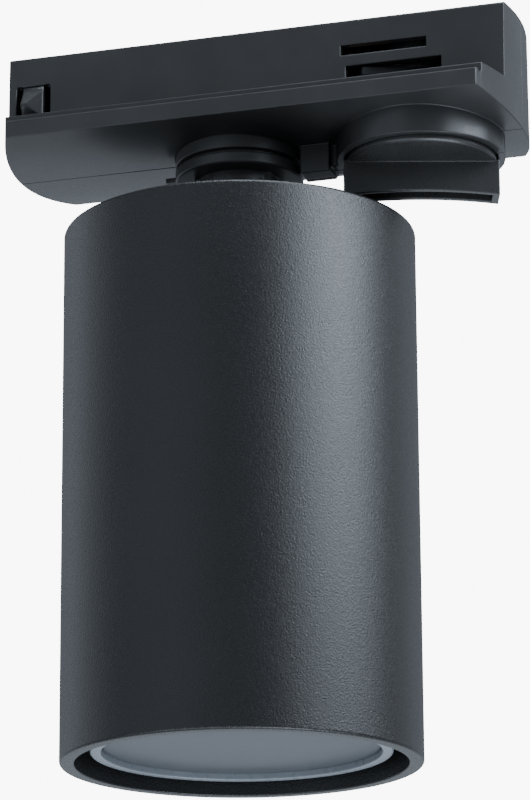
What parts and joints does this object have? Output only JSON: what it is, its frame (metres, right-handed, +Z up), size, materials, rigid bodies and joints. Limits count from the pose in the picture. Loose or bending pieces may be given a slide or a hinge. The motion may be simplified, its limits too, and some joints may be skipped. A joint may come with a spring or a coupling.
{
  "type": "track spotlight",
  "caption": "Cylindrical track spotlight head for a twist-lock reflector lamp, on a panning and tilting swivel under a track adapter with a locking knob.",
  "frame": {"origin": "point where the pan axis crosses the plane of the adapter's seat on the track's lips", "axes": "+Z up, into the track; +X along the track, towards the locking knob; -Y is the near side, with the live contact"},
  "size_m": [0.09, 0.06, 0.1254],
  "materials": {
    "powder_coat": "fine textured powder coat",
    "adapter_plastic": "fine moulded grain",
    "swivel_plastic": "satin",
    "knob_plastic": "satin, lightly scuffed",
    "zinc_steel": "zinc plated",
    "black_steel": "blackened",
    "white_plastic": "matte",
    "wire_insulation": "soft",
    "copper_contact": "bright",
    "fibre_washer": "matte",
    "ceramic": "unglazed ceramic",
    "lamp_shell": "satin",
    "lamp_rim": "satin",
    "diffuser": "opal",
    "board": "white solder resist"
  },
  "bodies": {
    "adapter": {"near_shell": "adapter_plastic", "far_shell": "adapter_plastic", "shell_screws": "zinc_steel", "fixed_collar": "swivel_plastic", "bolt_washer": "zinc_steel", "terminal_block": "white_plastic", "terminal_screws": "zinc_steel", "supply_wires": "wire_insulation"},
    "near_latch": {"near_latch": "adapter_plastic"},
    "far_latch": {"far_latch": "adapter_plastic"},
    "knob": {"knob": "knob_plastic", "lock_lug": "black_steel", "contact_carrier": "knob_plastic", "live_tongue": "copper_contact", "neutral_tongue": "copper_contact", "rotor_clip": "zinc_steel"},
    "swivel": {"hollow_bolt": "zinc_steel", "bolt_nut": "zinc_steel", "pan_fork": "swivel_plastic", "tilt_screw": "black_steel", "tilt_nut": "zinc_steel", "friction_washers": "fibre_washer"},
    "head": {"tube": "powder_coat", "top_cap": "powder_coat", "head_knuckle": "swivel_plastic", "knuckle_screws": "zinc_steel", "holder_bracket": "zinc_steel", "bracket_screws": "zinc_steel", "lampholder": "ceramic", "holder_contacts": "copper_contact", "holder_screws": "zinc_steel", "lamp_leads": "wire_insulation"},
    "lamp": {"lamp_body": "lamp_shell", "lamp_base": "white_plastic", "lamp_pins": "zinc_steel", "lamp_bezel": "lamp_rim", "lamp_diffuser": "diffuser", "led_board": "board"}
  },
  "joints": [
    {"name": "knob_turn", "type": "hinge", "parent": "adapter", "child": "knob", "pos_m": [0.0322, 0, -0.008], "axis": [0, 0, 1], "range_deg": [-17.5, 72.5]},
    {"name": "near_latch_flex", "type": "hinge", "parent": "adapter", "child": "near_latch", "pos_m": [-0.0346, -0.0081, 0.0076], "axis": [-1, 0, 0], "range_deg": [0, 8], "stiffness_Nm_per_rad": 0.02},
    {"name": "far_latch_flex", "type": "hinge", "parent": "adapter", "child": "far_latch", "pos_m": [-0.0346, 0.0081, 0.0076], "axis": [1, 0, 0], "range_deg": [0, 8], "stiffness_Nm_per_rad": 0.02},
    {"name": "pan", "type": "hinge", "parent": "adapter", "child": "swivel", "pos_m": [0, 0, -0.0095], "axis": [0, 0, 1], "range_deg": [-155, 155]},
    {"name": "tilt", "type": "hinge", "parent": "swivel", "child": "head", "pos_m": [0, 0, -0.0152], "axis": [1, 0, 0], "range_deg": [-30, 30]},
    {"name": "lamp_twist", "type": "hinge", "parent": "head", "child": "lamp", "pos_m": [0, 0, -0.0669], "axis": [0, 0, 1], "range_deg": [0, 20]}
  ]
}
